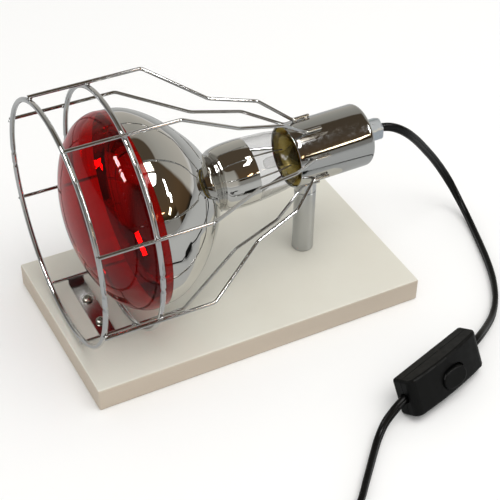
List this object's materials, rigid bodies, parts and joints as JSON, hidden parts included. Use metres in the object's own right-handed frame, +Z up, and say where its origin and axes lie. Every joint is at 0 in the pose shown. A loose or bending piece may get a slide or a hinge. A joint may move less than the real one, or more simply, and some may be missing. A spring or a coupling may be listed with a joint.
{
  "type": "heat lamp fixture",
  "caption": "Heat lamp on a painted base board, with a red reflector bulb in a chrome wire guard and a mains cord with a rocker switch.",
  "frame": {"origin": "underside of the board, under the middle of its length and width", "axes": "+Z up, +X from the bulb's front to the cord outlet, along the board's long side"},
  "size_m": [0.3089, 0.4211, 0.172],
  "materials": {
    "white_paint": "smooth white paint",
    "chrome": "polished",
    "zinc_plate": "zinc plated, satin",
    "brass": "plain",
    "red_glass": "clear red front, mirrored cone, clear neck",
    "clear_glass": "clear",
    "tungsten": "dull",
    "bakelite": "moulded, glossy",
    "ceramic": "unglazed",
    "black_plastic": "moulded, satin",
    "cord_sheath": "extruded, satin"
  },
  "bodies": {
    "fixture": {"base_board": "white_paint", "centre_contact": "brass", "coil_tie": "black_plastic", "cord_coil": "cord_sheath", "cord_grip": "zinc_plate", "cord_nipple": "brass", "cord_tail": "cord_sheath", "cord_to_coil": "cord_sheath", "cord_to_switch": "cord_sheath", "guard_bar_1": "chrome", "guard_bar_2": "chrome", "guard_bar_3": "chrome", "guard_bar_4": "chrome", "guard_bar_5": "chrome", "guard_bar_6": "chrome", "guard_bar_7": "chrome", "guard_bar_8": "chrome", "guard_ring_front": "chrome", "guard_ring_middle": "chrome", "holder_body": "ceramic", "holder_front_ring": "brass", "lamp_housing": "chrome", "mounting_strip": "chrome", "nipple_nut": "zinc_plate", "plug_body": "black_plastic", "plug_pin_1": "zinc_plate", "plug_pin_2": "zinc_plate", "post_bolt": "zinc_plate", "post_collar": "chrome", "screw_shell": "brass", "strip_screw_1": "zinc_plate", "strip_screw_2": "zinc_plate", "supply_wire_1": "cord_sheath", "supply_wire_2": "cord_sheath", "support_post": "chrome", "switch_contact": "brass", "switch_lower_shell": "black_plastic", "switch_terminal_1": "brass", "switch_terminal_2": "brass", "switch_upper_shell": "black_plastic"},
    "bulb": {"bulb_glass": "red_glass", "bulb_cap": "brass", "bulb_insulator": "bakelite", "bulb_contact": "zinc_plate", "bulb_stem": "clear_glass", "bulb_lead_1": "tungsten", "bulb_lead_2": "tungsten", "bulb_filament": "tungsten"},
    "rocker": {"switch_rocker": "black_plastic"}
  },
  "joints": [
    {"name": "bulb_withdraw", "type": "slide", "parent": "fixture", "child": "bulb", "axis": [-0.9993, 0, -0.0384], "range_m": [0, 0.195]},
    {"name": "rocker_tilt", "type": "hinge", "parent": "fixture", "child": "rocker", "pos_m": [0.08229, -0.14181, 0.01278], "axis": [-0.1306, 0.4019, 0.9063], "range_deg": [0, 12]}
  ]
}
